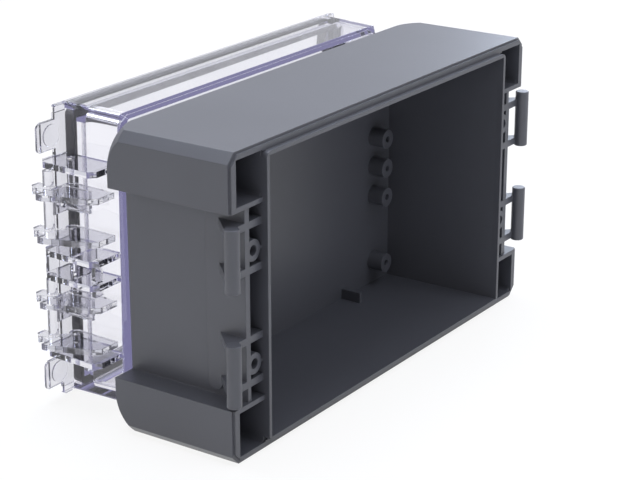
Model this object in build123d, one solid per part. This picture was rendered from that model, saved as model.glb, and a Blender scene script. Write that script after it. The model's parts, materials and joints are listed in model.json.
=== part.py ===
from build123d import *
import math
import os

# Wall-mount instrument enclosure: a moulded base tray standing on its long side and,
# lifted off and stood behind it, a clear lid with a gasket and four closure levers.
# X runs along the length, Y from the open rim towards the back, Z across the width.
# All lengths are millimetres and angles degrees. Every "half" value comes from a full size.

# Base tray
base_length = 221.0
base_width = 125.0
base_depth = 57.5
back_corner_radius = 16.5
end_chamfer = 3.9
floor_thickness = 3.0
side_wall = 5.1
room_end_draft = 3.6
room_side_draft = 1.2
tongue_thickness = 1.6
tongue_height = 3.0
tongue_corner_radius = 2.5

# Corner blocks, pockets and the end recesses between them
recess_width = 78.6
recess_inset = 10.7
recess_wall = 2.0
cell_width = 7.6
block_inner_wall = 2.0
pocket_outer_wall = 3.9
pocket_side_wall = 3.0
pocket_corner_radius = 1.8
pad_height = 0.8
pad_depth = 18.5
pad_tail_width = 6.7
pad_tail_length = 3.9
rim_ledge = 1.0
rim_lip_height = 0.9
wall_hole_radius = 2.25
wall_hole_inset = 3.9

# Closure pins and the webs that carry them
pin_pitch = 46.0
pin_radius = 3.0
pin_overhang = 0.3
pin_front = 1.25
pin_tip = 3.5
pin_root = 1.0
pin_edge = 0.3
web_spacing = 18.0
web_thickness = 3.0
web_reach = 13.3
web_nose = 1.5

# Ring bosses for the closure screws
ring_inset = 4.3
ring_offset = 1.6
ring_radius = 4.4
ring_hole_radius = 2.1
ring_hole_depth = 24.0
ring_depth = 30.0
ring_rib = 1.2

# Bosses and stop ribs on the tray floor
boss_radius = 4.4
boss_height = 7.7
boss_hole_radius = 1.5
boss_hole_depth = 6.5
boss_spacing_x = 144.0
boss_spacing_z = 90.0
terminal_pitch = 14.0
terminal_offset = 1.4
terminal_count = 3
stop_spacing = 92.0
stop_thickness = 1.8
stop_depth = 10.0
stop_height = 5.9

# Clear lid, which leans by the draft of the long side that it stands on
lid_depth = 31.2
lid_end_wall = 1.5
lid_front_wall = 2.4
lid_end_draft = 1.1
lid_lean = 1.0
lid_bevel = 2.2
lid_inner_bevel = 1.0
flange_reach = 6.0
flange_thickness = 1.8
flange_corner_radius = 1.5
tab_width = 11.9
tab_margin = 5.7
tab_inset = 1.3
tab_corner_radius = 2.0
disc_radius = 4.6
disc_height = 0.5
disc_inset = 8.0
ear_thickness = 2.5
ear_inset = 3.0
ear_depth = 28.2
ear_corner = 2.8
outer_ear_above = 19.1
inner_ear_below = 18.1
inner_ear_above = 17.7
outer_ear_below = 15.9
grip_wall = 1.6
grip_middle_depth = 14.6
grip_post_width = 4.5
grip_post_thickness = 2.0
grip_post_inset = 2.0
grip_post_drop = 4.6
lid_rise = 100.1
lid_shift = 2.5
lid_gap = 0.3
rebate_clearance = 0.3

# Gasket and its groove
seal_overlap = 0.6
gasket_width = 3.5
gasket_height = 3.7
gasket_corner_radius = 3.0
gasket_inner_radius = 0.5
gasket_clearance = 0.3
gasket_squeeze = 1.1
groove_wall = 1.6
groove_floor = 1.6

# Closure levers, counted from the axis of the screw tube
lever_plate = 2.6
lever_upper_face = 8.8
lever_lower_face = -9.2
lever_depth = 27.3
lever_wall_gap = 0.9
lever_corner = 2.8
lever_inset = 4.3
jaw_reach = 3.2
jaw_thickness = 2.2
seat_clearance = 0.1
hook_lip = 2.9
hook_gap = 1.9
hook_heel = 3.0
hook_end_width = 4.2
pivot_inset = 3.6
pivot_depth = 7.5
knuckle_radius = 3.0
trunnion_radius = 1.4
trunnion_clearance = 0.05
post_radius = 2.2
post_inset = 5.9
post_depth = 2.6
post_gap = 0.4
tube_radius = 2.4
tube_hole_radius = 1.3
tube_front = 12.5
tube_back = 3.6
web_plate = 1.6
web_plate_tail = 5.5

# Derived planes
half_length = base_length / 2
half_width = base_width / 2
recess_face = half_length - recess_inset
recess_half_width = recess_width / 2
cell_outer = recess_face - recess_wall
tongue_half_length = cell_outer - cell_width
inner_half_length = tongue_half_length - tongue_thickness
inner_half_width = half_width - side_wall
tongue_half_width = inner_half_width + tongue_thickness
pad_face = recess_face + pad_height
pocket_low = recess_half_width + block_inner_wall
pocket_high = half_width - pocket_side_wall
pocket_end = half_length - pocket_outer_wall
floor_face = base_depth - floor_thickness
pocket_centre_x = (tongue_half_length + pocket_end) / 2
pocket_centre_z = (pocket_low + pocket_high) / 2
wall_hole_z = pocket_low + wall_hole_inset
pin_x = half_length - pin_overhang
pin_z = pin_pitch / 2
ring_x = recess_face - ring_inset
gasket_half_length = tongue_half_length + seal_overlap
gasket_half_width = tongue_half_width + seal_overlap
room_half_length = gasket_half_length + gasket_clearance
room_half_width = gasket_half_width + gasket_clearance
lid_half_length = room_half_length + lid_end_wall
lid_side_draft = (lid_depth - lid_bevel) * math.tan(math.radians(lid_lean))
flange_edge = lid_half_length + flange_reach
flange_half_width = half_width - flange_thickness * math.tan(math.radians(lid_lean))
tab_end = half_length - tab_inset
tab_centre = half_width - tab_margin - tab_width / 2
ear_end = half_length - ear_inset
pivot_x = lid_half_length + pivot_inset
post_x = half_length - post_inset
front_open = -20.0

# Heights at the left end of the two screw tubes and of the four ears
upper_tube = pin_z - ring_offset
lower_tube = -pin_z - ring_offset
upper_ear = upper_tube + outer_ear_above
upper_inner_ear = upper_tube - inner_ear_below
lower_inner_ear = lower_tube + inner_ear_above
lower_ear = lower_tube - outer_ear_below

# Where the tray's pin and tongue come to lie in the lid's own place when it is closed
seat_y = lid_gap - pin_front
hook_back = seat_y + pin_radius + seat_clearance + hook_lip
groove_start = tongue_height - lid_gap - gasket_squeeze

# The whole part is set on its long side with the middle of its box at the origin.
lean_sine = math.sin(math.radians(lid_lean))
lean_cosine = math.cos(math.radians(lid_lean))
hook_foot = half_width + lower_tube + lever_lower_face - lever_plate
low_x = -(pin_x + pin_radius)
high_x = max(pin_x + pin_radius, lid_shift + pin_x + jaw_reach)
low_y = -(pin_front + pin_radius)
high_y = lid_rise + hook_back * lean_cosine - hook_foot * lean_sine
placing = Pos(-(low_x + high_x) / 2, -(low_y + high_y) / 2, half_width)
lid_placing = Pos(lid_shift, lid_rise, -half_width) * Rot(lid_lean, 0, 0) * Pos(0, 0, half_width)


def block(x0, x1, y0, y1, z0, z1):
    centre = Pos((x0 + x1) / 2, (y0 + y1) / 2, (z0 + z1) / 2)
    return centre * Box(abs(x1 - x0), abs(y1 - y0), abs(z1 - z0))


def rod_along_y(x, z, radius, y0, y1):
    return Pos(x, (y0 + y1) / 2, z) * Rot(90, 0, 0) * Cylinder(radius, y1 - y0)


def rod_along_z(x, y, radius, z0, z1):
    return Pos(x, y, (z0 + z1) / 2) * Cylinder(radius, z1 - z0)


def half_turn(shape):
    return Rot(0, 180, 0) * shape


def prism_along_x(profile, x0, x1):
    return Pos(x0, 0, 0) * extrude(Plane.YZ * profile, x1 - x0)


def plan_plate(points, z0, z1):
    outline = make_face(Polyline(*points, close=True))
    return Pos(0, 0, z0) * extrude(outline, z1 - z0)


def four_sided(plan, side):
    # The body whose outline is plan from the long side and side from the end. Both are
    # lists of half size and depth, from the rim inwards.
    reach = plan[0][0]
    width = side[0][0]
    plan_points = plan + [(-half, y) for half, y in reversed(plan)]
    side_points = [(y, half) for half, y in side] + [(y, -half) for half, y in reversed(side)]
    lengthways = plan_plate(plan_points, -width, width)
    outline = make_face(Polyline(*side_points, close=True))
    return lengthways & prism_along_x(outline, -reach, reach)


def ring_frame(outer, inner, y0, y1):
    # Plane.XZ looks along -Y, so the frame is extruded from y1 back to y0.
    return Pos(0, y1, 0) * extrude(Plane.XZ * (outer - inner), y1 - y0)


def back_corner(wall):
    # What the rounding takes from one back corner. The ball leaves the three edges sharp
    # and turns each face's outline; a wall inside it follows a smaller ball.
    x = half_length - back_corner_radius
    y = base_depth - back_corner_radius
    z = half_width - back_corner_radius
    beyond = 2 * back_corner_radius
    corner = block(x, x + beyond, y, y + beyond, z, z + beyond)
    return corner - Pos(x, y, z) * Sphere(back_corner_radius * math.sqrt(2) - wall)


def outer_block():
    body = block(-half_length, half_length, 0, base_depth, -half_width, half_width)
    ends = body.edges().filter_by(Axis.Y)
    body = chamfer(ends, end_chamfer)
    corner = back_corner(0)
    for turn in (0, 180):
        body -= Rot(0, turn, 0) * corner
        body -= Rot(0, turn, 0) * mirror(corner, Plane.XY)
    return body


def end_recess():
    reach = recess_half_width
    return block(recess_face, half_length + 5, -5, base_depth + 5, -reach, reach)


def interior():
    plan = [
        (inner_half_length, front_open),
        (inner_half_length, 0.0),
        (inner_half_length - room_end_draft, floor_face),
    ]
    side = [
        (inner_half_width, front_open),
        (inner_half_width, 0.0),
        (inner_half_width - room_side_draft, floor_face),
    ]
    return four_sided(plan, side)


def web_places():
    places = []
    for side_z in (-1, 1):
        for side in (-1, 1):
            places.append(side_z * pin_z + side * web_spacing / 2)
    return places


def end_cells():
    reach = recess_half_width
    cell = block(tongue_half_length, cell_outer, -5, floor_face, -reach, reach)
    for centre in web_places():
        low = centre - web_thickness / 2
        high = centre + web_thickness / 2
        cell -= block(tongue_half_length - 1, cell_outer + 1, -6, floor_face + 1, low, high)
    return cell


def corner_pocket():
    mouth = Rectangle(pocket_end - tongue_half_length, pocket_high - pocket_low)
    mouth = fillet(mouth.vertices(), pocket_corner_radius)
    hollow = extrude(Plane.XZ * mouth, floor_face - front_open)
    hollow = Pos(pocket_centre_x, floor_face, pocket_centre_z) * hollow
    return hollow - back_corner(floor_thickness)


def rim_lip(grow, height):
    # The lip runs round the long sides and the corner blocks. Grown a little, it is the
    # rebate that the lid needs to sit over it.
    outline = Rectangle(
        base_length - 2 * rim_ledge + 2 * grow, base_width - 2 * rim_ledge + 2 * grow
    )
    outline = chamfer(outline.vertices(), end_chamfer)
    outline -= Rectangle(2 * (tongue_half_length - grow), 2 * (tongue_half_width - grow))
    end_reach = half_length - tongue_half_length - grow
    for side_x in (-1, 1):
        outline -= Pos(side_x * half_length, 0) * Rectangle(
            2 * end_reach, 2 * (recess_half_width - grow)
        )
        for side_z in (-1, 1):
            outline -= Pos(side_x * pocket_centre_x, side_z * pocket_centre_z) * Rectangle(
                pocket_end - tongue_half_length - 2 * grow, pocket_high - pocket_low - 2 * grow
            )
    return extrude(Plane.XZ * outline, height)


def tongue():
    outer = RectangleRounded(2 * tongue_half_length, 2 * tongue_half_width, tongue_corner_radius)
    inner = Rectangle(2 * inner_half_length, 2 * inner_half_width)
    return ring_frame(outer, inner, -tongue_height, 0.5)


def pad():
    high = recess_half_width
    low = -(pin_z + (web_spacing + web_thickness) / 2)
    face = Pos(pad_depth / 2, (high + low) / 2) * Rectangle(pad_depth, high - low)
    tail_low = low - pad_tail_length
    tail = Pos(pad_depth - pad_tail_width / 2, (high + tail_low) / 2) * Rectangle(
        pad_tail_width, high - tail_low
    )
    tail = fillet(tail.vertices().group_by(Axis.Y)[0], pad_tail_width / 2 - 0.05)
    return prism_along_x(face + tail, recess_face - 0.2, pad_face)


def pin_with_webs(centre):
    # The free end of the pin points up.
    half_web = web_thickness / 2
    lower = centre - web_spacing / 2
    upper = centre + web_spacing / 2
    low = lower - half_web - pin_root
    high = upper + half_web + pin_tip
    post = rod_along_z(pin_x, -pin_front, pin_radius, low, high)
    post = chamfer(post.edges().filter_by(GeomType.CIRCLE), pin_edge)
    outline = [
        (recess_face - 0.2, 0.0),
        (pin_x - 0.6 * pin_radius, 0.0),
        (pin_x - 0.1 * pin_radius, -pin_front - web_nose),
        (pin_x + 0.3 * pin_radius, 0.85 * pin_radius - pin_front),
        (recess_face - 0.2, web_reach),
    ]
    for place in (lower, upper):
        post += plan_plate(outline, place - half_web, place + half_web)
    return post


def ring_places():
    return (ring_offset - pin_z, ring_offset + pin_z)


def screw_ring(z):
    ring = rod_along_y(ring_x, z, ring_radius, 0.0, ring_depth)
    half_rib = ring_rib / 2
    ring += block(tongue_half_length - 0.5, ring_x, 0.0, ring_depth, z - half_rib, z + half_rib)
    limit = block(
        tongue_half_length - 0.5, recess_face, -1, ring_depth, z - 2 * ring_radius, z + 2 * ring_radius
    )
    return ring & limit


def tray_end():
    # One end as seen at +X; the other end is the same thing after half a turn about Y.
    end = mirror(pad(), Plane.XY)
    end += pin_with_webs(pin_z)
    end += pin_with_webs(-pin_z)
    for z in ring_places():
        end += screw_ring(z)
    return end


def floor_boss(x, z):
    return rod_along_y(x, z, boss_radius, floor_face - boss_height, floor_face + 0.5)


def boss_places():
    places = []
    for side_x in (-1, 1):
        for side_z in (-1, 1):
            places.append((side_x * boss_spacing_x / 2, side_z * boss_spacing_z / 2))
        for step in range(terminal_count):
            along = terminal_offset + (step - (terminal_count - 1) / 2) * terminal_pitch
            places.append((side_x * boss_spacing_x / 2, side_x * along))
    return places


def stop_ribs():
    ribs = []
    for side_x in (-1, 1):
        for side_z in (-1, 1):
            inner_x = side_x * stop_spacing / 2
            ribs.append(
                block(
                    inner_x,
                    inner_x + side_x * stop_thickness,
                    floor_face - stop_depth,
                    floor_face + 0.5,
                    side_z * (inner_half_width - stop_height),
                    side_z * (inner_half_width + 0.5),
                )
            )
    return ribs


def base_tray():
    tray = outer_block()
    pocket = corner_pocket()
    cells = end_cells()
    end = tray_end()
    for turn in (0, 180):
        tray -= Rot(0, turn, 0) * end_recess()
        tray -= Rot(0, turn, 0) * cells
        tray -= Rot(0, turn, 0) * pocket
        tray -= Rot(0, turn, 0) * mirror(pocket, Plane.XY)
    tray -= interior()
    tray += rim_lip(0, rim_lip_height)
    tray += tongue()
    tray += end
    tray += half_turn(end)
    for x, z in boss_places():
        tray += floor_boss(x, z)
    for rib in stop_ribs():
        tray += rib
    for x, z in boss_places():
        boss_front = floor_face - boss_height
        tray -= rod_along_y(x, z, boss_hole_radius, boss_front - 1, boss_front + boss_hole_depth)
    for side_x in (-1, 1):
        for z in ring_places():
            tray -= rod_along_y(side_x * ring_x, side_x * z, ring_hole_radius, -1, ring_hole_depth)
        for side_z in (-1, 1):
            x = side_x * pocket_centre_x
            z = side_z * wall_hole_z
            tray -= rod_along_y(x, z, wall_hole_radius, floor_face - 1, base_depth + 1)
    return tray


def lid_profile(half, draft, depth, bevel):
    return [(half, 0.0), (half - draft, bevel - depth), (half - draft - bevel, -depth)]


def lid_shell():
    shell = four_sided(
        lid_profile(lid_half_length, lid_end_draft, lid_depth, lid_bevel),
        lid_profile(half_width, lid_side_draft, lid_depth, lid_bevel),
    )
    inner_depth = lid_depth - lid_front_wall
    room = four_sided(
        lid_profile(room_half_length, lid_end_draft, inner_depth, lid_inner_bevel),
        lid_profile(room_half_width, lid_side_draft, inner_depth, lid_inner_bevel),
    )
    return shell - room


def gasket_groove():
    inner_half_x = gasket_half_length - gasket_width - gasket_clearance
    inner_half_z = gasket_half_width - gasket_width - gasket_clearance
    low = -(groove_start + gasket_height + groove_floor)
    outer = Rectangle(2 * (room_half_length + 0.4), 2 * (room_half_width + 0.4))
    window = Rectangle(2 * (inner_half_x - groove_wall), 2 * (inner_half_z - groove_wall))
    shelf = ring_frame(outer, window, low, low + groove_floor)
    kerb = ring_frame(Rectangle(2 * inner_half_x, 2 * inner_half_z), window, low, -groove_start)
    return shelf + kerb


def rim_flange():
    outer = RectangleRounded(2 * flange_edge, 2 * flange_half_width, flange_corner_radius)
    inner = Rectangle(2 * room_half_length, 2 * room_half_width)
    flange = ring_frame(outer, inner, -flange_thickness, 0)
    for side_x in (-1, 1):
        for z in ring_places():
            x = side_x * ring_x
            flange -= rod_along_y(x, side_x * z, ring_hole_radius, -flange_thickness - 1, 1)
    return flange


def corner_tab():
    start = flange_edge - 1.0
    face = Pos((start + tab_end) / 2, tab_centre) * Rectangle(tab_end - start, tab_width)
    face = fillet(face.vertices().group_by(Axis.X)[-1], tab_corner_radius)
    tab = extrude(Plane.XZ * face, flange_thickness)
    front = -flange_thickness - disc_height
    return tab + rod_along_y(tab_end - disc_inset, tab_centre, disc_radius, front, -0.5)


def fixed_ear(centre):
    low = centre - ear_thickness / 2
    high = centre + ear_thickness / 2
    root = lid_half_length - lid_end_wall / 2
    outline = [
        (root, 0.0),
        (ear_end - ear_corner, 0.0),
        (ear_end, -ear_corner),
        (ear_end, ear_corner - ear_depth),
        (ear_end - ear_corner, -ear_depth),
        (root - lid_end_draft, -ear_depth),
    ]
    ear = plan_plate(outline, low, high)
    hole_radius = trunnion_radius + trunnion_clearance
    return ear - rod_along_z(pivot_x, -pivot_depth, hole_radius, low - 1, high + 1)


def centre_grip():
    # The two inner ears are tied by a wall at the rim, a cross wall and a corner post.
    upper = upper_inner_ear
    lower = lower_inner_ear
    root = lid_half_length - lid_end_wall / 2
    outer = ear_end - ear_corner
    post_back = grip_post_inset - ear_depth
    grip = fixed_ear(upper) + fixed_ear(lower)
    grip += block(root, outer, -grip_wall, 0, lower, upper)
    grip += block(root, outer, -grip_middle_depth - grip_wall, -grip_middle_depth, lower, upper)
    grip += block(
        outer - grip_post_width,
        outer,
        post_back,
        post_back + grip_post_thickness,
        lower - grip_post_drop,
        upper,
    )
    return grip


def lid_end():
    # One end as it lies at -X, built here at +X and upside down.
    end = fixed_ear(upper_ear)
    end += fixed_ear(lower_ear)
    end += centre_grip()
    end = mirror(end, Plane.XY)
    end += corner_tab()
    end += mirror(corner_tab(), Plane.XY)
    return end


def clear_lid():
    lid = lid_shell()
    lid += gasket_groove()
    lid += rim_flange()
    end = lid_end()
    lid += end
    lid += half_turn(end)
    rebate_depth = rim_lip_height - lid_gap + rebate_clearance
    return lid - rim_lip(rebate_clearance, rebate_depth)


def lid_gasket():
    outer = RectangleRounded(2 * gasket_half_length, 2 * gasket_half_width, gasket_corner_radius)
    inner = RectangleRounded(
        2 * (gasket_half_length - gasket_width),
        2 * (gasket_half_width - gasket_width),
        gasket_inner_radius,
    )
    return ring_frame(outer, inner, -(groove_start + gasket_height), -groove_start)


def lever_outline():
    wall_side = lid_half_length + lever_wall_gap
    front_end = half_length - lever_inset
    jaw_tip = pin_x + jaw_reach
    jaw_back = seat_y - pin_radius - seat_clearance + 0.2
    hook_in = recess_face + hook_gap
    return [
        (wall_side, -pivot_depth),
        (wall_side, -lever_depth),
        (front_end - lever_corner, -lever_depth),
        (front_end, lever_corner - lever_depth),
        (jaw_tip, jaw_back - jaw_thickness),
        (jaw_tip, jaw_back),
        (pin_x, jaw_back + 0.1),
        (pin_x - pin_radius / 2, seat_y),
        (pin_x - pin_radius / 2, hook_back - hook_lip + 0.1),
        (hook_in + hook_end_width, hook_back),
        (hook_in, hook_back),
        (hook_in, -hook_heel),
        (pivot_x + knuckle_radius * 0.87, knuckle_radius * 0.5 - pivot_depth),
    ]


def lever_plate_at(low):
    plate = plan_plate(lever_outline(), low, low + lever_plate)
    plate += rod_along_z(pivot_x, -pivot_depth, knuckle_radius, low, low + lever_plate)
    seat = pin_radius + seat_clearance
    return plate - rod_along_z(pin_x, seat_y, seat, low - 1, low + lever_plate + 1)


def closure_lever():
    # Built at +X and upside down. The upper and lower levers are the same piece, so its
    # trunnions reach through the farther ears and its post clears the nearer one.
    upper = lever_upper_face
    lower = lever_lower_face
    lever = lever_plate_at(upper - lever_plate)
    lever += lever_plate_at(lower - lever_plate)
    half_ear = ear_thickness / 2
    top = max(outer_ear_above, inner_ear_above) + half_ear
    bottom = -max(inner_ear_below, outer_ear_below) - half_ear
    lever += rod_along_z(pivot_x, -pivot_depth, trunnion_radius, upper - 0.5, top)
    lever += rod_along_z(pivot_x, -pivot_depth, trunnion_radius, bottom, lower - lever_plate + 0.5)
    post_top = min(outer_ear_above, inner_ear_above) - half_ear - post_gap
    lever += rod_along_z(post_x, -post_depth, post_radius, lower - 0.5, post_top)
    lever += rod_along_y(ring_x, 0, tube_radius, -tube_front, -tube_back)
    web_x = ring_x + tube_radius - web_plate
    lever += block(web_x, web_x + web_plate, -tube_front, -tube_back, 0, upper - 0.5)
    lever += block(
        web_x, post_x, -tube_back - web_plate, -tube_back, -tube_radius, upper - 0.5
    )
    lever += block(
        web_x, web_x + web_plate, -tube_front - web_plate_tail, -tube_front, -1.0, upper - 0.5
    )
    lever -= rod_along_y(ring_x, 0, tube_hole_radius, -tube_front - 10, 5)
    return mirror(lever, Plane.XY)


def closure_at(side_x, height):
    # The height is the tube's where the lever lies.
    lever = Pos(0, 0, side_x * height) * closure_lever()
    return lever if side_x > 0 else half_turn(lever)


def write_parts():
    os.makedirs("parts", exist_ok=True)
    export_step(placing * base_tray(), "parts/base_tray.step")
    export_step(placing * lid_placing * clear_lid(), "parts/clear_lid.step")
    export_step(placing * lid_placing * lid_gasket(), "parts/lid_gasket.step")
    levers = {
        "closure_left_upper": (-1, upper_tube),
        "closure_left_lower": (-1, lower_tube),
        "closure_right_upper": (1, -lower_tube),
        "closure_right_lower": (1, -upper_tube),
    }
    for name, (side_x, height) in levers.items():
        export_step(placing * lid_placing * closure_at(side_x, height), "parts/" + name + ".step")


write_parts()
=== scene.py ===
import bmesh
import bpy
import json
import math
from mathutils import Matrix, Vector


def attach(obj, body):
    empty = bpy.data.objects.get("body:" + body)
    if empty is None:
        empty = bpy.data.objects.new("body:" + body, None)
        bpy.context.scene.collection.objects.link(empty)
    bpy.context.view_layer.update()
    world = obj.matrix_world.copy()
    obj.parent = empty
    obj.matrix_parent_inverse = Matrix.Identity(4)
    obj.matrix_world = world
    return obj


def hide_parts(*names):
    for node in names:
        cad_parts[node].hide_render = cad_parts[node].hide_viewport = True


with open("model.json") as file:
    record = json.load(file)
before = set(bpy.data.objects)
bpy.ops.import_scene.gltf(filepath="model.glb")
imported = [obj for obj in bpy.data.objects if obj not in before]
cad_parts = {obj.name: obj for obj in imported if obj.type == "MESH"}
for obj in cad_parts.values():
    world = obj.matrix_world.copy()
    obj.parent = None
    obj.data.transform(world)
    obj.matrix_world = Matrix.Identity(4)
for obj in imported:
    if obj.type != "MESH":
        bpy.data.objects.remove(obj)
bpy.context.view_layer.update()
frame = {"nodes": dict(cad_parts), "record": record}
print("stage 1: frame loaded,", len(frame["nodes"]), "CAD nodes")


# Small helpers for node trees
def newMaterial(name):
    material = bpy.data.materials.new(name)
    material.use_nodes = True
    material.node_tree.nodes.clear()
    return material


def addNode(tree, kind, place=(0, 0), **settings):
    node = tree.nodes.new(kind)
    node.location = place
    for key, value in settings.items():
        setattr(node, key, value)
    return node


def setInputs(node, values):
    for name, value in values.items():
        node.inputs[name].default_value = value


def mathNode(tree, operation, first, second=None, place=(0, 0)):
    node = addNode(tree, "ShaderNodeMath", place, operation=operation)
    for slot, value in enumerate((first, second)):
        if value is None:
            continue
        if hasattr(value, "is_output"):
            tree.links.new(value, node.inputs[slot])
        else:
            node.inputs[slot].default_value = value
    return node.outputs[0]


def groupSocket(tree, name, inOut, kind, value=None):
    socket = tree.interface.new_socket(name, in_out=inOut, socket_type=kind)
    if value is not None:
        socket.default_value = value


# A Mix node keeps its colour sockets behind those for numbers and vectors
mixSlots = {"first": 6, "second": 7, "result": 2}


def blendColors(tree, factor, first, second, place=(0, 0)):
    node = addNode(tree, "ShaderNodeMix", place, data_type="RGBA")
    tree.links.new(factor, node.inputs["Factor"])
    for slot, value in ((mixSlots["first"], first), (mixSlots["second"], second)):
        if hasattr(value, "is_output"):
            tree.links.new(value, node.inputs[slot])
        else:
            node.inputs[slot].default_value = value
    return node.outputs[mixSlots["result"]]


# Camera, where the photograph was taken from
cameraSettings = {
    "place": (-0.62432, -0.441652, 0.32414),
    "towards": (0.77643, 0.53160, -0.33845),
    "lens": 105.18,
    "sensorWidth": 36.0,
    "nearest": 0.01,
    "farthest": 20.0,
}


def makeCamera(settings):
    data = bpy.data.cameras.new("photoCamera")
    data.sensor_width = settings["sensorWidth"]
    data.lens = settings["lens"]
    data.clip_start = settings["nearest"]
    data.clip_end = settings["farthest"]
    camera = bpy.data.objects.new("photoCamera", data)
    bpy.context.scene.collection.objects.link(camera)
    camera.rotation_mode = "QUATERNION"
    camera.rotation_quaternion = Vector(settings["towards"]).to_track_quat("-Z", "Y")
    camera.location = settings["place"]
    bpy.context.scene.camera = camera


makeCamera(cameraSettings)
bpy.context.scene.view_settings.view_transform = "Standard"


# Studio: white surroundings, a pale floor and soft lamps, in metres and watts.
# The floor lies a hair below the lid, whose clear foot would otherwise let the paper shine in.
studioSettings = {
    "roomLight": (0.80, 0.82, 0.86, 1.0),
    "roomStrength": 0.50,
    "horizonTone": (0.95, 0.96, 1.0, 1.0),
    "ceilingTone": (0.38, 0.40, 0.47, 1.0),
    "ceilingStart": 0.10,
    "ceilingFull": 0.75,
    "floorColor": (0.86, 0.86, 0.87, 1.0),
    "floorWhiteShare": 0.88,
    "floorSize": 6.0,
    "floorGap": 0.0002,
}
lampSettings = [
    {"name": "overheadSoftbox", "place": (0.1, 0.2, 0.95), "aim": (0.0, 0.0, 0.08),
     "size": (1.0, 0.8), "power": 12.8, "color": (0.85, 0.90, 1.0)},
    {"name": "backSoftbox", "place": (1.16, 0.27, 0.5), "aim": (0.08, 0.0, 0.12),
     "size": (0.4, 0.45), "power": 5.2, "color": (0.74, 0.83, 1.0)},
    {"name": "leftSoftbox", "place": (-1.1, -0.05, 0.5), "aim": (0.0, 0.0, 0.06),
     "size": (0.8, 0.8), "power": 2.3, "color": (1.0, 0.97, 0.95)},
    {"name": "frontSoftbox", "place": (0.15, -0.72, 1.05), "aim": (0.0, 0.0, 0.05),
     "size": (0.7, 0.5), "power": 5.4, "color": (0.84, 0.89, 1.0)},
]


def seenDirectly(tree, place):
    # 1 for camera, mirror and see-through rays, which meet the white background
    path = addNode(tree, "ShaderNodeLightPath", place)
    shiny = mathNode(tree, "MAXIMUM", path.outputs["Is Glossy Ray"], path.outputs["Is Transmission Ray"],
                     (place[0] + 180, place[1]))
    return mathNode(tree, "MAXIMUM", path.outputs["Is Camera Ray"], shiny, (place[0] + 340, place[1]))


def reflectedSky(tree, settings):
    # What glossy faces mirror: a white horizon that falls off to a greyer ceiling
    place = addNode(tree, "ShaderNodeTexCoord", (-700, -300))
    split = addNode(tree, "ShaderNodeSeparateXYZ", (-500, -300))
    tree.links.new(place.outputs["Generated"], split.inputs[0])
    rise = addNode(tree, "ShaderNodeMapRange", (-300, -300), interpolation_type="SMOOTHSTEP")
    rise.inputs["From Min"].default_value = settings["ceilingStart"]
    rise.inputs["From Max"].default_value = settings["ceilingFull"]
    tree.links.new(split.outputs["Z"], rise.inputs["Value"])
    path = addNode(tree, "ShaderNodeLightPath", (-500, -100))
    glossy = path.outputs["Is Glossy Ray"]
    mirrored = mathNode(tree, "MULTIPLY", rise.outputs["Result"], glossy, (-100, -250))
    white = blendColors(tree, glossy, (1, 1, 1, 1), settings["horizonTone"], (0, -100))
    return blendColors(tree, mirrored, white, settings["ceilingTone"], (200, -250))


def makeWorld(settings):
    world = bpy.data.worlds.new("studioRoom")
    world.use_nodes = True
    tree = world.node_tree
    tree.nodes.clear()
    output = addNode(tree, "ShaderNodeOutputWorld", (900, 0))
    mix = addNode(tree, "ShaderNodeMixShader", (700, 0))
    room = addNode(tree, "ShaderNodeBackground", (450, -80))
    setInputs(room, {"Color": settings["roomLight"], "Strength": settings["roomStrength"]})
    white = addNode(tree, "ShaderNodeBackground", (450, -220))
    white.inputs["Strength"].default_value = 1.0
    tree.links.new(reflectedSky(tree, settings), white.inputs["Color"])
    tree.links.new(seenDirectly(tree, (0, 200)), mix.inputs[0])
    tree.links.new(room.outputs[0], mix.inputs[1])
    tree.links.new(white.outputs[0], mix.inputs[2])
    tree.links.new(mix.outputs[0], output.inputs["Surface"])
    bpy.context.scene.world = world


def makeFloor(settings):
    half = settings["floorSize"] / 2
    mesh = bpy.data.meshes.new("studioFloor")
    low = -settings["floorGap"]
    corners = [(-half, -half, low), (half, -half, low), (half, half, low), (-half, half, low)]
    mesh.from_pydata(corners, [], [(0, 1, 2, 3)])
    floor = bpy.data.objects.new("studioFloor", mesh)
    bpy.context.scene.collection.objects.link(floor)
    material = newMaterial("floorPaper")
    tree = material.node_tree
    output = addNode(tree, "ShaderNodeOutputMaterial", (900, 0))
    mix = addNode(tree, "ShaderNodeMixShader", (700, 0))
    paper = addNode(tree, "ShaderNodeBsdfDiffuse", (450, -80))
    setInputs(paper, {"Color": settings["floorColor"]})
    white = addNode(tree, "ShaderNodeEmission", (450, -220))
    setInputs(white, {"Color": (1, 1, 1, 1), "Strength": 1.0})
    seen = seenDirectly(tree, (0, 200))
    share = mathNode(tree, "MULTIPLY", seen, settings["floorWhiteShare"], (520, 200))
    tree.links.new(share, mix.inputs[0])
    tree.links.new(paper.outputs[0], mix.inputs[1])
    tree.links.new(white.outputs[0], mix.inputs[2])
    tree.links.new(mix.outputs[0], output.inputs["Surface"])
    mesh.materials.append(material)


def makeLamps(lamps):
    for lamp in lamps:
        data = bpy.data.lights.new(lamp["name"], "AREA")
        data.shape = "RECTANGLE"
        data.size, data.size_y = lamp["size"]
        data.energy = lamp["power"]
        data.color = lamp["color"]
        light = bpy.data.objects.new(lamp["name"], data)
        bpy.context.scene.collection.objects.link(light)
        light.location = lamp["place"]
        aim = Vector(lamp["aim"]) - Vector(lamp["place"])
        light.rotation_mode = "QUATERNION"
        light.rotation_quaternion = aim.to_track_quat("-Z", "Y")


makeWorld(studioSettings)
makeFloor(studioSettings)
makeLamps(lampSettings)
print("stage 2: camera and studio ready")


# Shared shader group: fine spark-eroded grain with slow drifts of shade, and softened edges
grainPattern = {
    "grainDetail": 2.0,
    "grainRoughness": 0.6,
    "driftDetail": 3.0,
    "driftRoughness": 0.55,
    "edgeSamples": 6,
}


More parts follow.
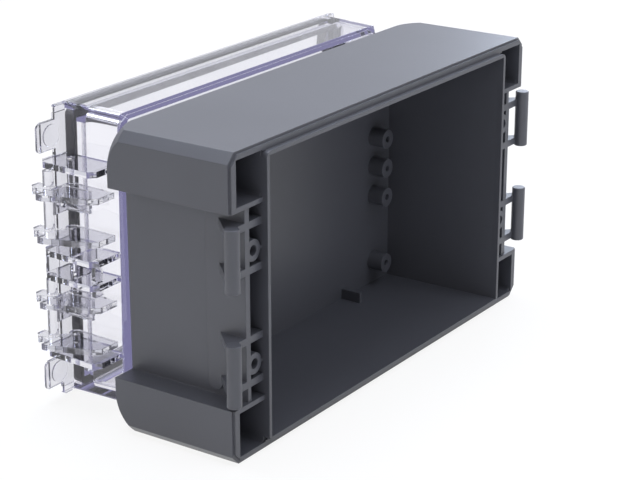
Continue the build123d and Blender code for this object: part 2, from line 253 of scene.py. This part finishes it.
def makeGrainGroup(pattern):
    tree = bpy.data.node_groups.new("mouldedGrain", "ShaderNodeTree")
    for name in ("Grain Size", "Grain Depth", "Drift Size", "Edge Round"):
        groupSocket(tree, name, "INPUT", "NodeSocketFloat")
    for name in ("Grain", "Drift"):
        groupSocket(tree, name, "OUTPUT", "NodeSocketFloat")
    groupSocket(tree, "Normal", "OUTPUT", "NodeSocketVector")
    source = addNode(tree, "NodeGroupInput", (-700, 0))
    result = addNode(tree, "NodeGroupOutput", (700, 0))
    place = addNode(tree, "ShaderNodeTexCoord", (-700, -250))
    for row, name in enumerate(("grain", "drift")):
        size = source.outputs[name.title() + " Size"]
        spread = mathNode(tree, "DIVIDE", 1.0, size, (-480, 100 - 250 * row))
        noise = addNode(tree, "ShaderNodeTexNoise", (-250, 100 - 250 * row))
        setInputs(noise, {"Detail": pattern[name + "Detail"], "Roughness": pattern[name + "Roughness"]})
        tree.links.new(place.outputs["Object"], noise.inputs["Vector"])
        tree.links.new(spread, noise.inputs["Scale"])
        tree.links.new(noise.outputs["Fac"], result.inputs[name.title()])
        if name == "grain":
            grain = noise
    edges = addNode(tree, "ShaderNodeBevel", (50, -400), samples=pattern["edgeSamples"])
    bump = addNode(tree, "ShaderNodeBump", (300, -100))
    bump.inputs["Strength"].default_value = 1.0
    tree.links.new(source.outputs["Edge Round"], edges.inputs["Radius"])
    tree.links.new(edges.outputs["Normal"], bump.inputs["Normal"])
    tree.links.new(grain.outputs["Fac"], bump.inputs["Height"])
    tree.links.new(source.outputs["Grain Depth"], bump.inputs["Distance"])
    tree.links.new(bump.outputs["Normal"], result.inputs["Normal"])
    return tree


grainGroup = makeGrainGroup(grainPattern)


def addGrain(tree, finish, place):
    node = addNode(tree, "ShaderNodeGroup", place)
    node.node_tree = grainGroup
    setInputs(node, {"Grain Size": finish["grainSize"], "Grain Depth": finish["grainDepth"],
                     "Drift Size": finish["driftSize"], "Edge Round": finish["edgeRound"]})
    return node


# Graphite plastic of the tray
trayFinish = {
    "darkTone": (0.062, 0.063, 0.073, 1.0),
    "lightTone": (0.082, 0.083, 0.095, 1.0),
    "grainSize": 0.00045,
    "grainDepth": 0.000012,
    "driftSize": 0.06,
    "edgeRound": 0.0004,
    "leastRoughness": 0.32,
    "roughnessSwing": 0.08,
}


def makeGraphite(finish):
    material = newMaterial("graphitePlastic")
    tree = material.node_tree
    output = addNode(tree, "ShaderNodeOutputMaterial", (900, 0))
    surface = addNode(tree, "ShaderNodeBsdfPrincipled", (600, 0))
    grain = addGrain(tree, finish, (-200, 0))
    tone = blendColors(tree, grain.outputs["Drift"], finish["darkTone"], finish["lightTone"], (150, 150))
    swing = mathNode(tree, "MULTIPLY", grain.outputs["Grain"], finish["roughnessSwing"], (0, -80))
    rough = mathNode(tree, "ADD", swing, finish["leastRoughness"], (200, -80))
    tree.links.new(tone, surface.inputs["Base Color"])
    tree.links.new(rough, surface.inputs["Roughness"])
    tree.links.new(grain.outputs["Normal"], surface.inputs["Normal"])
    tree.links.new(surface.outputs[0], output.inputs["Surface"])
    return material


# Clear polycarbonate. Where a ray is caught inside the lid's walls the surface glows with a painted
# violet, in the small plates with a painted grey: a painted glow in place of light caught in the walls.
# A ray counts as caught after so many mirror turns, or so many steps of any kind.
lidFinish = {
    "name": "clearLidWalls",
    "tint": (0.89, 0.885, 0.92, 1.0),
    "hazeTint": (0.80, 0.79, 0.845, 1.0),
    "grainSize": 0.006,
    "grainDepth": 0.000004,
    "driftSize": 0.03,
    "edgeRound": 0.00025,
    "leastRoughness": 0.0075,
    "roughnessSwing": 0.05,
    "ior": 1.585,
    # painted glow colour, emitted only where a ray is caught in the wall
    "paintedTrapGlow": (0.11, 0.105, 0.19, 1.0),
    "trappedTurns": 3.5,
    "trappedSteps": 11.5,
}
# The closures glow with a painted grey in place of the lid's painted violet
closureFinish = dict(lidFinish, name="clearClosures", tint=(0.78, 0.775, 0.81, 1.0),
                     hazeTint=(0.70, 0.695, 0.74, 1.0), driftSize=0.008,
                     paintedTrapGlow=(0.075, 0.075, 0.088, 1.0))


def makeClear(finish):
    material = newMaterial(finish["name"])
    tree = material.node_tree
    output = addNode(tree, "ShaderNodeOutputMaterial", (600, 0))
    surface = addNode(tree, "ShaderNodeBsdfPrincipled", (300, 0))
    # Emission Color holds the painted glow; it is switched on only for caught rays below
    setInputs(surface, {"IOR": finish["ior"], "Transmission Weight": 1.0, "Metallic": 0.0,
                        "Emission Color": finish["paintedTrapGlow"]})
    grain = addGrain(tree, finish, (-500, 200))
    tone = blendColors(tree, grain.outputs["Drift"], finish["tint"], finish["hazeTint"], (-200, 300))
    swing = mathNode(tree, "MULTIPLY", grain.outputs["Drift"], finish["roughnessSwing"], (-200, 100))
    rough = mathNode(tree, "ADD", swing, finish["leastRoughness"], (0, 100))
    tree.links.new(tone, surface.inputs["Base Color"])
    tree.links.new(rough, surface.inputs["Roughness"])
    tree.links.new(grain.outputs["Normal"], surface.inputs["Normal"])
    # Painted glow: where a ray has turned many times inside a wall, the surface emits the painted colour
    # as a soft edge glow
    path = addNode(tree, "ShaderNodeLightPath", (-500, -200))
    turned, stepped = path.outputs["Glossy Depth"], path.outputs["Ray Depth"]
    turns = mathNode(tree, "GREATER_THAN", turned, finish["trappedTurns"], (-250, -150))
    steps = mathNode(tree, "GREATER_THAN", stepped, finish["trappedSteps"], (-250, -300))
    trapped = mathNode(tree, "MAXIMUM", turns, steps, (0, -200))
    tree.links.new(trapped, surface.inputs["Emission Strength"])
    tree.links.new(surface.outputs[0], output.inputs["Surface"])
    return material


# Foamed seal
sealFinish = {
    "darkTone": (0.083, 0.082, 0.088, 1.0),
    "lightTone": (0.126, 0.125, 0.134, 1.0),
    "grainSize": 0.0008,
    "grainDepth": 0.00008,
    "driftSize": 0.012,
    "edgeRound": 0.0004,
    "roughness": 0.62,
}


def makeSeal(finish):
    material = newMaterial("foamedSeal")
    tree = material.node_tree
    output = addNode(tree, "ShaderNodeOutputMaterial", (900, 0))
    surface = addNode(tree, "ShaderNodeBsdfPrincipled", (600, 0))
    grain = addGrain(tree, finish, (-200, 0))
    tone = blendColors(tree, grain.outputs["Drift"], finish["darkTone"], finish["lightTone"], (150, 150))
    surface.inputs["Roughness"].default_value = finish["roughness"]
    tree.links.new(tone, surface.inputs["Base Color"])
    tree.links.new(grain.outputs["Normal"], surface.inputs["Normal"])
    tree.links.new(surface.outputs[0], output.inputs["Surface"])
    return material


graphite = makeGraphite(trayFinish)
lidClear = makeClear(lidFinish)
closureClear = makeClear(closureFinish)
seal = makeSeal(sealFinish)
print("stage 3: materials ready")


# The lid's own frame: the rim at height 0, the front below it, and the middle of the lid at 0
lidPlace = {
    "middle": (0.00115, 0.04987814, 0.0),
    "leanDegrees": 1.0,
    "halfWidth": 0.0625,
}
lidLean = Matrix.Rotation(math.radians(lidPlace["leanDegrees"]), 4, "X")
lidFrame = (Matrix.Translation(lidPlace["middle"]) @ lidLean
            @ Matrix.Translation((0, 0, lidPlace["halfWidth"])))

# How the CAD solids become moulded pieces. Angles are in degrees.
mouldSettings = {
    "mergeDistance": 0.000002,
    "flatAngle": 0.2,
    "sharpAngle": 28.0,
    "broadShare": 4.0,
}

# Corner spots of the lid in its own frame: reach along the length, height, reach along the width.
# Beyond plateStart are the ears and tabs, which are as clear as the levers.
lidShape = {
    "innerSpots": [(0.0900, -0.0278, 0.05939), (0.0890, -0.0288, 0.05839)],
    "innerCorner": (0.0897, -0.0272, 0.05915),
    "shelfSpots": [(0.09083, -0.0069, 0.05977)],
    "shelfCorner": (0.09065, -0.0115, 0.05969),
    "outerSpots": [(0.09253, -0.0018, 0.06247), (0.0915, -0.0290, 0.06199), (0.0893, -0.0312, 0.05979)],
    "spotReach": 0.00015,
    "mergeReach": 0.000015,
    "innerRound": 0.0042,
    "innerSteps": 8,
    "outerRound": 0.0012,
    "outerSteps": 4,
    "plateStart": 0.0931,
}


def spotOf(vert, spots, reach):
    # Which of the corner spots a vertex is at, the four corners taken alike
    here = Vector((abs(vert.co.x), vert.co.y, abs(vert.co.z)))
    for number, spot in enumerate(spots):
        if (here - Vector(spot)).length < reach:
            return number
    return None


def edgesBetween(work, spots, reach):
    # The edges that run from one of the spots to another
    found = []
    for edge in work.edges:
        ends = [spotOf(vert, spots, reach) for vert in edge.verts]
        if None not in ends and ends[0] != ends[1]:
            found.append(edge)
    return found


def roundEdges(work, edges, width, steps):
    bmesh.ops.bevel(work, geom=[edge for edge in edges if edge.is_valid], offset=width, segments=steps,
                    profile=0.5, affect="EDGES", clamp_overlap=False)


def roundLidCorners(work, shape):
    # Sharp inner front corner, sloped shelf under the seal, and round upright corners
    reach = shape["spotReach"]
    for spots, corner in (("innerSpots", "innerCorner"), ("shelfSpots", "shelfCorner")):
        across, height, along = shape[corner]
        for vert in work.verts:
            if spotOf(vert, shape[spots], reach) is not None:
                vert.co = (math.copysign(across, vert.co.x), height, math.copysign(along, vert.co.z))
    bmesh.ops.remove_doubles(work, verts=work.verts, dist=shape["mergeReach"])
    bmesh.ops.dissolve_degenerate(work, edges=work.edges, dist=shape["mergeReach"])
    inside = edgesBetween(work, [shape["innerCorner"], shape["shelfCorner"]], reach)
    outside = edgesBetween(work, shape["outerSpots"], reach)
    print("lid corners:", len(inside), "inner and", len(outside), "outer edges rounded")
    roundEdges(work, inside, shape["innerRound"], shape["innerSteps"])
    roundEdges(work, outside, shape["outerRound"], shape["outerSteps"])


def markEdges(work, settings):
    # Facets of a round run smoothly into each other, but never into the flat face beside them
    sharpTurn = math.radians(settings["sharpAngle"])
    flatTurn = math.radians(settings["flatAngle"])
    for edge in work.edges:
        turn = edge.calc_face_angle(math.pi)
        areas = sorted(face.calc_area() for face in edge.link_faces)
        uneven = len(areas) < 2 or areas[1] > settings["broadShare"] * areas[0]
        edge.smooth = turn < sharpTurn and not (turn > flatTurn and uneven)


def addPiece(mesh, nodeName, body):
    piece = bpy.data.objects.new(mesh.name, mesh)
    bpy.context.scene.collection.objects.link(piece)
    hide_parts(nodeName)
    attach(piece, body)


def mouldedPiece(nodeName, pieceName, body, materials, settings):
    # A copy of a CAD solid with its loose triangles merged into faces
    mesh = frame["nodes"][nodeName].data.copy()
    mesh.name = pieceName
    mesh.materials.clear()
    for material in materials:
        mesh.materials.append(material)
    for name in [layer.name for layer in mesh.uv_layers]:
        mesh.uv_layers.remove(mesh.uv_layers[name])
    work = bmesh.new()
    work.from_mesh(mesh)
    bmesh.ops.remove_doubles(work, verts=work.verts, dist=settings["mergeDistance"])
    bmesh.ops.dissolve_limit(work, angle_limit=math.radians(settings["flatAngle"]), verts=work.verts,
                             edges=work.edges)
    if nodeName == "clear_lid":
        work.transform(lidFrame.inverted())
        roundLidCorners(work, lidShape)
        for face in work.faces:
            face.material_index = int(abs(face.calc_center_median().x) > lidShape["plateStart"])
        work.transform(lidFrame)
    for face in work.faces:
        face.smooth = True
    markEdges(work, settings)
    work.to_mesh(mesh)
    work.free()
    addPiece(mesh, nodeName, body)


# The seal is one bead of foam poured round the lid's groove, full in section with softened corners
sealShape = {
    "Half Length": 0.08940,
    "Half Width": 0.05820,
    "Corner Radius": 0.0015,
    "Bead Width": 0.0033,
    "Bead Height": 0.0046,
    "Side Fullness": 0.06,
    "Crown Fullness": 0.10,
    "cornerSteps": 6,
    "sectionPoints": 28,
    "middleDepth": 0.0032,
}


def beadSection(tree, source):
    # A circle's points are drawn out to the sides: the less the fullness, the squarer the bead
    section = addNode(tree, "GeometryNodeCurvePrimitiveCircle", (-450, -100))
    section.inputs["Resolution"].default_value = sealShape["sectionPoints"]
    section.inputs["Radius"].default_value = 1.0
    spot = addNode(tree, "GeometryNodeInputPosition", (-700, -300))
    split = addNode(tree, "ShaderNodeSeparateXYZ", (-550, -300))
    joined = addNode(tree, "ShaderNodeCombineXYZ", (300, -300))
    tree.links.new(spot.outputs[0], split.inputs[0])
    for row, (axis, fullness, size) in enumerate((("X", "Side Fullness", "Bead Width"),
                                                  ("Y", "Crown Fullness", "Bead Height"))):
        low = -300 - 200 * row
        half = mathNode(tree, "MULTIPLY", source.outputs[size], 0.5, (-400, low))
        plain = mathNode(tree, "ABSOLUTE", split.outputs[axis], None, (-300, low))
        full = mathNode(tree, "POWER", plain, source.outputs[fullness], (-150, low))
        side = mathNode(tree, "SIGN", split.outputs[axis], None, (-300, low - 80))
        signed = mathNode(tree, "MULTIPLY", full, side, (0, low))
        tree.links.new(mathNode(tree, "MULTIPLY", signed, half, (150, low)), joined.inputs[axis])
    shaped = addNode(tree, "GeometryNodeSetPosition", (300, -50))
    tree.links.new(section.outputs["Curve"], shaped.inputs["Geometry"])
    tree.links.new(joined.outputs[0], shaped.inputs["Position"])
    return shaped.outputs["Geometry"]


def beadTree(material):
    tree = bpy.data.node_groups.new("sealBeadSweep", "GeometryNodeTree")
    groupSocket(tree, "Geometry", "INPUT", "NodeSocketGeometry")
    for name in ("Half Length", "Half Width", "Corner Radius", "Bead Width", "Bead Height",
                 "Side Fullness", "Crown Fullness"):
        groupSocket(tree, name, "INPUT", "NodeSocketFloat", sealShape[name])
    groupSocket(tree, "Geometry", "OUTPUT", "NodeSocketGeometry")
    source = addNode(tree, "NodeGroupInput", (-900, 0))
    result = addNode(tree, "NodeGroupOutput", (1100, 0))
    route = addNode(tree, "GeometryNodeCurvePrimitiveQuadrilateral", (-450, 250))
    for row, (half, whole) in enumerate((("Half Length", "Width"), ("Half Width", "Height"))):
        span = mathNode(tree, "MULTIPLY", source.outputs[half], 2.0, (-650, 300 - 120 * row))
        tree.links.new(span, route.inputs[whole])
    corners = addNode(tree, "GeometryNodeFilletCurve", (-250, 250), mode="POLY")
    corners.inputs["Count"].default_value = sealShape["cornerSteps"]
    tree.links.new(route.outputs[0], corners.inputs["Curve"])
    tree.links.new(source.outputs["Corner Radius"], corners.inputs["Radius"])
    sweep = addNode(tree, "GeometryNodeCurveToMesh", (500, 100))
    tree.links.new(corners.outputs["Curve"], sweep.inputs["Curve"])
    tree.links.new(beadSection(tree, source), sweep.inputs["Profile Curve"])
    realize = addNode(tree, "GeometryNodeRealizeInstances", (700, 100))
    paint = addNode(tree, "GeometryNodeSetMaterial", (900, 100))
    paint.inputs["Material"].default_value = material
    tree.links.new(sweep.outputs["Mesh"], realize.inputs["Geometry"])
    tree.links.new(realize.outputs["Geometry"], paint.inputs["Geometry"])
    tree.links.new(paint.outputs["Geometry"], result.inputs[0])
    return tree


def makeSealBead(shape, nodeName, body):
    carrier = bpy.data.objects.new("beadCarrier", bpy.data.meshes.new("beadStart"))
    bpy.context.scene.collection.objects.link(carrier)
    tree = beadTree(seal)
    sweep = carrier.modifiers.new("sealBeadSweep", "NODES")
    sweep.node_group = tree
    for item in tree.interface.items_tree:
        if item.in_out == "INPUT" and item.name in shape:
            sweep[item.identifier] = shape[item.name]
    mesh = bpy.data.meshes.new_from_object(carrier.evaluated_get(bpy.context.evaluated_depsgraph_get()))
    bpy.data.objects.remove(carrier)
    mesh.name = "sealBead"
    lay = Matrix.Translation((0, -shape["middleDepth"], 0)) @ Matrix.Rotation(math.radians(90), 4, "X")
    mesh.transform(lidFrame @ lay)
    work = bmesh.new()
    work.from_mesh(mesh)
    bmesh.ops.remove_doubles(work, verts=work.verts, dist=mouldSettings["mergeDistance"])
    bmesh.ops.recalc_face_normals(work, faces=work.faces)
    work.to_mesh(mesh)
    work.free()
    mesh.shade_smooth()
    mesh.set_sharp_from_angle(angle=math.radians(mouldSettings["sharpAngle"]))
    addPiece(mesh, nodeName, body)
    print("seal bead:", len(mesh.polygons), "faces")


for bodyName, nodeNames in frame["record"]["behaviour"]["bodies"].items():
    for nodeName in nodeNames:
        if nodeName == "base_tray":
            mouldedPiece(nodeName, "trayMoulding", bodyName, [graphite],
                         mouldSettings)
        elif nodeName == "lid_gasket":
            makeSealBead(sealShape, nodeName, bodyName)
        elif nodeName == "clear_lid":
            mouldedPiece(nodeName, "moulded_clear_lid", bodyName,
                         [lidClear, closureClear], mouldSettings)
        else:
            mouldedPiece(nodeName, "moulded_" + nodeName, bodyName,
                         [closureClear], mouldSettings)
print("stage 4: moulded pieces ready")
